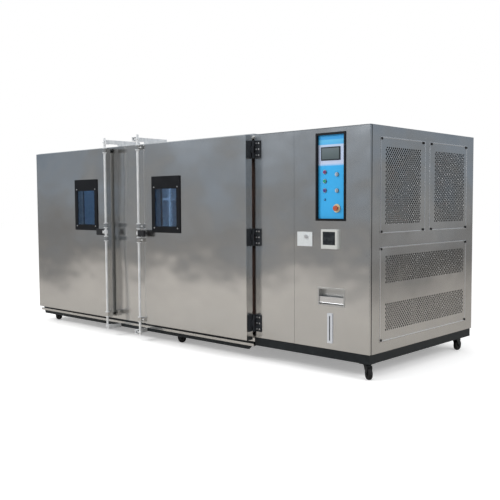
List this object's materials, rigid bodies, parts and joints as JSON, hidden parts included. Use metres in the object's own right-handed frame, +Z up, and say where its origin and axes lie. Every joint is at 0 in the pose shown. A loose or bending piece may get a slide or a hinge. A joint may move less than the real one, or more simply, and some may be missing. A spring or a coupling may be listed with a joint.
{
  "type": "environmental test chamber",
  "caption": "Floor-standing environmental test chamber with hinged windowed doors, full-height lock rods and a side machine unit with control panel, on casters",
  "frame": {"origin": "on the floor under the middle of the whole object", "axes": "+X to the object's right when facing its doors, +Y from the doors to the rear, +Z up"},
  "size_m": [4.774, 1.889, 2.092],
  "materials": {
    "steel_panel": "brushed, vertical grain",
    "steel_bright": "bright satin",
    "steel_inner": "mill finish lining",
    "black_paint": "satin powder coat",
    "black_plastic": "fine grain",
    "seal_rubber": "soft silicone",
    "glass": "clear, layered",
    "fascia_blue": "smooth film",
    "screen": "gloss",
    "button_red": "gloss",
    "button_green": "gloss",
    "button_blue": "gloss",
    "stop_red": "gloss",
    "recorder_grey": "fine grain",
    "gauge_frame": "satin",
    "tyre_black": "solid rubber",
    "fork_black": "satin",
    "compressor_black": "gloss",
    "coil_metal": "finned",
    "fan_metal": "pressed",
    "tank_white": "moulded"
  },
  "bodies": {
    "chamber": {"chamber_base_frame": "black_paint", "unit_base_frame": "black_paint", "chamber_floor": "steel_panel", "chamber_roof": "steel_panel", "chamber_rear_wall": "steel_panel", "chamber_left_wall": "steel_panel", "chamber_right_wall": "steel_panel", "chamber_front_posts": "steel_panel", "door_gaskets": "seal_rubber", "hinge_frame_leaves": "black_paint", "lock_keepers": "steel_bright", "sample_racks": "steel_bright", "air_baffle": "steel_inner", "air_handler": "coil_metal", "unit_frame": "steel_panel", "unit_casing": "steel_panel", "unit_front_panel": "steel_panel", "mesh_panels": "steel_panel", "panel_knobs": "black_plastic", "compressors": "compressor_black", "condenser": "coil_metal", "water_tank": "tank_white"},
    "left_door": {"left_door_leaf": "steel_panel", "left_window_frame": "black_plastic", "left_window_glass": "glass", "left_hinge_leaves": "black_paint"},
    "left_lock": {"left_lock_rod": "steel_bright", "left_lever_grip": "black_plastic"},
    "right_door": {"right_door_leaf": "steel_panel", "right_window_frame": "black_plastic", "right_window_glass": "glass", "right_hinge_leaves": "black_paint"},
    "right_lock": {"right_lock_rod": "steel_bright", "right_lever_grip": "black_plastic"},
    "service_door": {"service_door": "steel_panel", "control_frame": "black_plastic", "control_fascia": "fascia_blue", "touch_screen": "screen", "recorder": "recorder_grey", "hatch_surround": "black_plastic", "level_gauge": "gauge_frame"},
    "latch": {"door_latch": "steel_bright"},
    "start_button": {"start_button": "button_red"},
    "stop_button": {"stop_button": "button_green"},
    "light_button": {"light_button": "button_blue"},
    "upper_selector": {"upper_selector": "black_plastic"},
    "lower_selector": {"lower_selector": "black_plastic"},
    "emergency_stop": {"emergency_stop": "stop_red"},
    "hatch_flap": {"hatch_flap": "steel_bright"},
    "front_left_swivel": {"front_left_caster_fork": "fork_black"},
    "front_left_wheel": {"front_left_caster_wheel": "tyre_black"},
    "front_middle_swivel": {"front_middle_caster_fork": "fork_black"},
    "front_middle_wheel": {"front_middle_caster_wheel": "tyre_black"},
    "front_right_swivel": {"front_right_caster_fork": "fork_black"},
    "front_right_wheel": {"front_right_caster_wheel": "tyre_black"},
    "rear_left_wheel": {"rear_left_caster_wheel": "tyre_black"},
    "rear_middle_wheel": {"rear_middle_caster_wheel": "tyre_black"},
    "rear_right_wheel": {"rear_right_caster_wheel": "tyre_black"},
    "condenser_fan": {"condenser_fan": "fan_metal"},
    "circulation_fan": {"circulation_fan": "fan_metal"}
  },
  "joints": [
    {"name": "right_door_hinge", "type": "hinge", "parent": "chamber", "child": "right_door", "pos_m": [1.166, -0.8005, 1], "axis": [0, 0, 1], "range_deg": [0, 110]},
    {"name": "left_door_hinge", "type": "hinge", "parent": "chamber", "child": "left_door", "pos_m": [-2.287, -0.8005, 1], "axis": [0, 0, -1], "range_deg": [0, 110]},
    {"name": "right_lock_turn", "type": "hinge", "parent": "right_door", "child": "right_lock", "pos_m": [-0.311, -0.9055, 1.1], "axis": [0, 0, -1], "range_deg": [0, 95]},
    {"name": "left_lock_turn", "type": "hinge", "parent": "left_door", "child": "left_lock", "pos_m": [-0.865, -0.9055, 1.1], "axis": [0, 0, 1], "range_deg": [0, 95]},
    {"name": "service_door_hinge", "type": "hinge", "parent": "chamber", "child": "service_door", "pos_m": [2.362, -0.7645, 1], "axis": [0, 0, 1], "range_deg": [0, 100]},
    {"name": "service_latch_turn", "type": "hinge", "parent": "service_door", "child": "latch", "pos_m": [1.749, -0.7855, 1.119], "axis": [0, 1, 0], "range_deg": [0, 90]},
    {"name": "start_button_press", "type": "slide", "parent": "service_door", "child": "start_button", "axis": [0, 1, 0], "range_m": [0, 0.004], "stiffness_N_per_m": 400},
    {"name": "stop_button_press", "type": "slide", "parent": "service_door", "child": "stop_button", "axis": [0, 1, 0], "range_m": [0, 0.004], "stiffness_N_per_m": 400},
    {"name": "light_button_press", "type": "slide", "parent": "service_door", "child": "light_button", "axis": [0, 1, 0], "range_m": [0, 0.004], "stiffness_N_per_m": 400},
    {"name": "upper_selector_turn", "type": "hinge", "parent": "service_door", "child": "upper_selector", "pos_m": [2.048, -0.7655, 1.624], "axis": [0, 1, 0], "range_deg": [-45, 45]},
    {"name": "lower_selector_turn", "type": "hinge", "parent": "service_door", "child": "lower_selector", "pos_m": [2.048, -0.7655, 1.495], "axis": [0, 1, 0], "range_deg": [-45, 45]},
    {"name": "emergency_stop_press", "type": "slide", "parent": "service_door", "child": "emergency_stop", "axis": [0, 1, 0], "range_m": [0, 0.005]},
    {"name": "hatch_flap_hinge", "type": "hinge", "parent": "service_door", "child": "hatch_flap", "pos_m": [2.001, -0.7695, 0.582], "axis": [1, 0, 0], "range_deg": [0, 90]},
    {"name": "front_left_caster_swivel", "type": "hinge", "parent": "chamber", "child": "front_left_swivel", "pos_m": [-2.162, -0.6635, 0.115], "axis": [0, 0, 1], "continuous": true},
    {"name": "front_left_wheel_roll", "type": "hinge", "parent": "front_left_swivel", "child": "front_left_wheel", "pos_m": [-2.194, -0.6635, 0.05], "axis": [0, 1, 0], "continuous": true},
    {"name": "front_middle_caster_swivel", "type": "hinge", "parent": "chamber", "child": "front_middle_swivel", "pos_m": [0.085, -0.6635, 0.115], "axis": [0, 0, 1], "continuous": true},
    {"name": "front_middle_wheel_roll", "type": "hinge", "parent": "front_middle_swivel", "child": "front_middle_wheel", "pos_m": [0.053, -0.6635, 0.05], "axis": [0, 1, 0], "continuous": true},
    {"name": "front_right_caster_swivel", "type": "hinge", "parent": "chamber", "child": "front_right_swivel", "pos_m": [2.311, -0.7135, 0.115], "axis": [0, 0, 1], "continuous": true},
    {"name": "front_right_wheel_roll", "type": "hinge", "parent": "front_right_swivel", "child": "front_right_wheel", "pos_m": [2.33721, -0.73185, 0.05], "axis": [-0.5736, -0.8192, 0], "continuous": true},
    {"name": "rear_left_wheel_roll", "type": "hinge", "parent": "chamber", "child": "rear_left_wheel", "pos_m": [-2.162, 0.8565, 0.05], "axis": [1, 0, 0], "continuous": true},
    {"name": "rear_middle_wheel_roll", "type": "hinge", "parent": "chamber", "child": "rear_middle_wheel", "pos_m": [0.085, 0.8565, 0.05], "axis": [1, 0, 0], "continuous": true},
    {"name": "rear_right_wheel_roll", "type": "hinge", "parent": "chamber", "child": "rear_right_wheel", "pos_m": [2.298, 0.8165, 0.05], "axis": [1, 0, 0], "continuous": true},
    {"name": "condenser_fan_spin", "type": "hinge", "parent": "chamber", "child": "condenser_fan", "pos_m": [2.142, -0.2905, 1.535], "axis": [1, 0, 0], "continuous": true},
    {"name": "circulation_fan_spin", "type": "hinge", "parent": "chamber", "child": "circulation_fan", "pos_m": [-0.607, 0.5455, 1.45], "axis": [0, 1, 0], "continuous": true}
  ]
}
